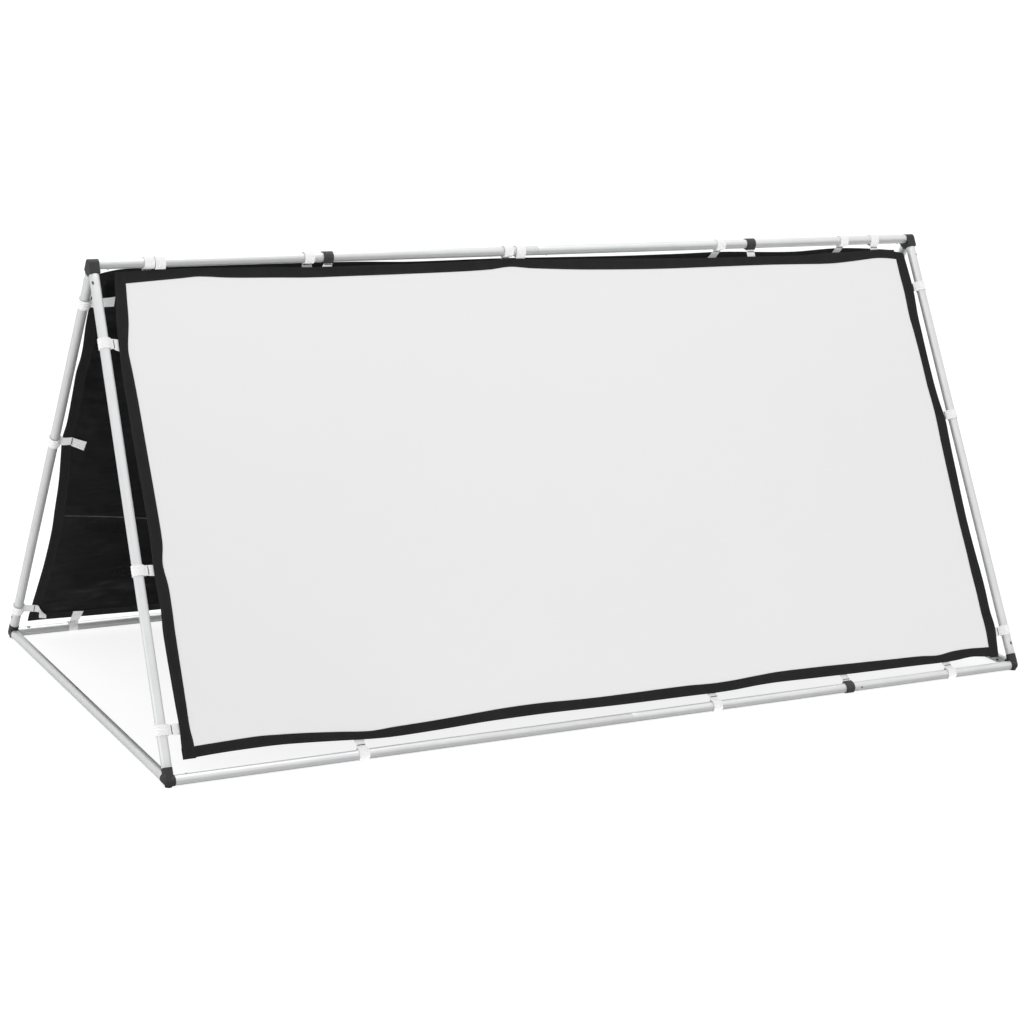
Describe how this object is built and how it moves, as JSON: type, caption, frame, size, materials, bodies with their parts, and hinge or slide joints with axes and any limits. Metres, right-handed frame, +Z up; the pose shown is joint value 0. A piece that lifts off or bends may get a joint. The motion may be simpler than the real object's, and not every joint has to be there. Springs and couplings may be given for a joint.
{
  "type": "a-frame banner stand",
  "caption": "Free-standing triangular prism of aluminium tube with black moulded corner connectors and a plain hemmed panel strapped onto each sloping side.",
  "frame": {"origin": "on the floor under the middle of the stand", "axes": "+X along the rails, to the right of someone facing the front panel; -Y is the front panel's side; +Z up"},
  "size_m": [2.567, 1.2726, 1.1577],
  "materials": {
    "tube_aluminium": "satin anodised, fine drawn grain",
    "splice_aluminium": "plain mill",
    "connector_plastic": "black, moulded texture",
    "button_steel": "dark oiled spring steel",
    "panel_vinyl": "matt pale grey face, glossy black back",
    "hem_webbing": "black woven webbing",
    "tie_tape": "white hook-and-loop tape"
  },
  "bodies": {
    "frame": {"front_bottom_ties": "tie_tape", "front_left_corner": "connector_plastic", "front_left_leg": "tube_aluminium", "front_left_ties": "tie_tape", "front_panel": "panel_vinyl", "front_panel_long_hems": "hem_webbing", "front_panel_short_hems": "hem_webbing", "front_rail_splice": "splice_aluminium", "front_rail_tube_left": "tube_aluminium", "front_rail_tube_right": "tube_aluminium", "front_right_corner": "connector_plastic", "front_right_leg": "tube_aluminium", "front_right_ties": "tie_tape", "front_top_ties": "tie_tape", "left_apex_connector": "connector_plastic", "left_base_tube": "tube_aluminium", "rear_bottom_ties": "tie_tape", "rear_left_corner": "connector_plastic", "rear_left_leg": "tube_aluminium", "rear_left_ties": "tie_tape", "rear_panel": "panel_vinyl", "rear_panel_long_hems": "hem_webbing", "rear_panel_short_hems": "hem_webbing", "rear_rail_splice": "splice_aluminium", "rear_rail_tube_left": "tube_aluminium", "rear_rail_tube_right": "tube_aluminium", "rear_right_corner": "connector_plastic", "rear_right_leg": "tube_aluminium", "rear_right_ties": "tie_tape", "rear_top_ties": "tie_tape", "ridge_splice": "splice_aluminium", "ridge_tube_left": "tube_aluminium", "ridge_tube_right": "tube_aluminium", "right_apex_connector": "connector_plastic", "right_base_tube": "tube_aluminium", "snap_button_clips": "button_steel"},
    "front_left_base_button": {"front_left_base_button": "button_steel"},
    "front_left_leg_button": {"front_left_leg_button": "button_steel"},
    "front_left_rail_button": {"front_left_rail_button": "button_steel"},
    "front_rail_splice_button": {"front_rail_splice_button": "button_steel"},
    "front_right_base_button": {"front_right_base_button": "button_steel"},
    "front_right_leg_button": {"front_right_leg_button": "button_steel"},
    "front_right_rail_button": {"front_right_rail_button": "button_steel"},
    "left_apex_front_leg_button": {"left_apex_front_leg_button": "button_steel"},
    "left_apex_rear_leg_button": {"left_apex_rear_leg_button": "button_steel"},
    "left_apex_ridge_button": {"left_apex_ridge_button": "button_steel"},
    "rear_left_base_button": {"rear_left_base_button": "button_steel"},
    "rear_left_leg_button": {"rear_left_leg_button": "button_steel"},
    "rear_left_rail_button": {"rear_left_rail_button": "button_steel"},
    "rear_rail_splice_button": {"rear_rail_splice_button": "button_steel"},
    "rear_right_base_button": {"rear_right_base_button": "button_steel"},
    "rear_right_leg_button": {"rear_right_leg_button": "button_steel"},
    "rear_right_rail_button": {"rear_right_rail_button": "button_steel"},
    "ridge_splice_button": {"ridge_splice_button": "button_steel"},
    "right_apex_front_leg_button": {"right_apex_front_leg_button": "button_steel"},
    "right_apex_rear_leg_button": {"right_apex_rear_leg_button": "button_steel"},
    "right_apex_ridge_button": {"right_apex_ridge_button": "button_steel"}
  },
  "joints": [
    {"name": "left_apex_ridge_button_press", "type": "slide", "parent": "frame", "child": "left_apex_ridge_button", "axis": [0, 0, -1], "range_m": [-0.0025, 0], "stiffness_N_per_m": 1500, "springref_m": 0.001},
    {"name": "right_apex_ridge_button_press", "type": "slide", "parent": "frame", "child": "right_apex_ridge_button", "axis": [0, 0, -1], "range_m": [-0.0025, 0], "stiffness_N_per_m": 1500, "springref_m": 0.001},
    {"name": "left_apex_front_leg_button_press", "type": "slide", "parent": "frame", "child": "left_apex_front_leg_button", "axis": [-0.6744, -0.6416, 0.3654], "range_m": [-0.0025, 0], "stiffness_N_per_m": 1500, "springref_m": 0.001},
    {"name": "front_left_leg_button_press", "type": "slide", "parent": "frame", "child": "front_left_leg_button", "axis": [-0.0085, 0.8759, -0.4824], "range_m": [-0.0025, 0], "stiffness_N_per_m": 1500, "springref_m": 0.001},
    {"name": "front_left_rail_button_press", "type": "slide", "parent": "frame", "child": "front_left_rail_button", "axis": [0, 0.3903, 0.9207], "range_m": [-0.0025, 0], "stiffness_N_per_m": 1500, "springref_m": 0.001},
    {"name": "front_left_base_button_press", "type": "slide", "parent": "frame", "child": "front_left_base_button", "axis": [1, 0, 0], "range_m": [-0.0025, 0], "stiffness_N_per_m": 1500, "springref_m": 0.001},
    {"name": "right_apex_front_leg_button_press", "type": "slide", "parent": "frame", "child": "right_apex_front_leg_button", "axis": [0.6744, -0.6416, 0.3654], "range_m": [-0.0025, 0], "stiffness_N_per_m": 1500, "springref_m": 0.001},
    {"name": "front_right_leg_button_press", "type": "slide", "parent": "frame", "child": "front_right_leg_button", "axis": [0.105, -0.8702, 0.4813], "range_m": [-0.0025, 0], "stiffness_N_per_m": 1500, "springref_m": 0.001},
    {"name": "front_right_rail_button_press", "type": "slide", "parent": "frame", "child": "front_right_rail_button", "axis": [0, 0.3903, 0.9207], "range_m": [-0.0025, 0], "stiffness_N_per_m": 1500, "springref_m": 0.001},
    {"name": "front_right_base_button_press", "type": "slide", "parent": "frame", "child": "front_right_base_button", "axis": [-1, 0, 0], "range_m": [-0.0025, 0], "stiffness_N_per_m": 1500, "springref_m": 0.001},
    {"name": "left_apex_rear_leg_button_press", "type": "slide", "parent": "frame", "child": "left_apex_rear_leg_button", "axis": [-0.6744, 0.6416, 0.3654], "range_m": [-0.0025, 0], "stiffness_N_per_m": 1500, "springref_m": 0.001},
    {"name": "rear_left_leg_button_press", "type": "slide", "parent": "frame", "child": "rear_left_leg_button", "axis": [-0.9999, -0.0075, 0.0136], "range_m": [-0.0025, 0], "stiffness_N_per_m": 1500, "springref_m": 0.001},
    {"name": "rear_left_rail_button_press", "type": "slide", "parent": "frame", "child": "rear_left_rail_button", "axis": [0, -0.3903, 0.9207], "range_m": [-0.0025, 0], "stiffness_N_per_m": 1500, "springref_m": 0.001},
    {"name": "rear_left_base_button_press", "type": "slide", "parent": "frame", "child": "rear_left_base_button", "axis": [1, 0, 0], "range_m": [-0.0025, 0], "stiffness_N_per_m": 1500, "springref_m": 0.001},
    {"name": "right_apex_rear_leg_button_press", "type": "slide", "parent": "frame", "child": "right_apex_rear_leg_button", "axis": [0.6744, 0.6416, 0.3654], "range_m": [-0.0025, 0], "stiffness_N_per_m": 1500, "springref_m": 0.001},
    {"name": "rear_right_leg_button_press", "type": "slide", "parent": "frame", "child": "rear_right_leg_button", "axis": [0.9999, -0.0075, 0.0136], "range_m": [-0.0025, 0], "stiffness_N_per_m": 1500, "springref_m": 0.001},
    {"name": "rear_right_rail_button_press", "type": "slide", "parent": "frame", "child": "rear_right_rail_button", "axis": [0, -0.3903, 0.9207], "range_m": [-0.0025, 0], "stiffness_N_per_m": 1500, "springref_m": 0.001},
    {"name": "rear_right_base_button_press", "type": "slide", "parent": "frame", "child": "rear_right_base_button", "axis": [-1, 0, 0], "range_m": [-0.0025, 0], "stiffness_N_per_m": 1500, "springref_m": 0.001},
    {"name": "ridge_splice_button_press", "type": "slide", "parent": "frame", "child": "ridge_splice_button", "axis": [0, 0, -1], "range_m": [-0.0025, 0], "stiffness_N_per_m": 1500, "springref_m": 0.001},
    {"name": "front_rail_splice_button_press", "type": "slide", "parent": "frame", "child": "front_rail_splice_button", "axis": [0, 1, 0], "range_m": [-0.0025, 0], "stiffness_N_per_m": 1500, "springref_m": 0.001},
    {"name": "rear_rail_splice_button_press", "type": "slide", "parent": "frame", "child": "rear_rail_splice_button", "axis": [0, -1, 0], "range_m": [-0.0025, 0], "stiffness_N_per_m": 1500, "springref_m": 0.001}
  ]
}
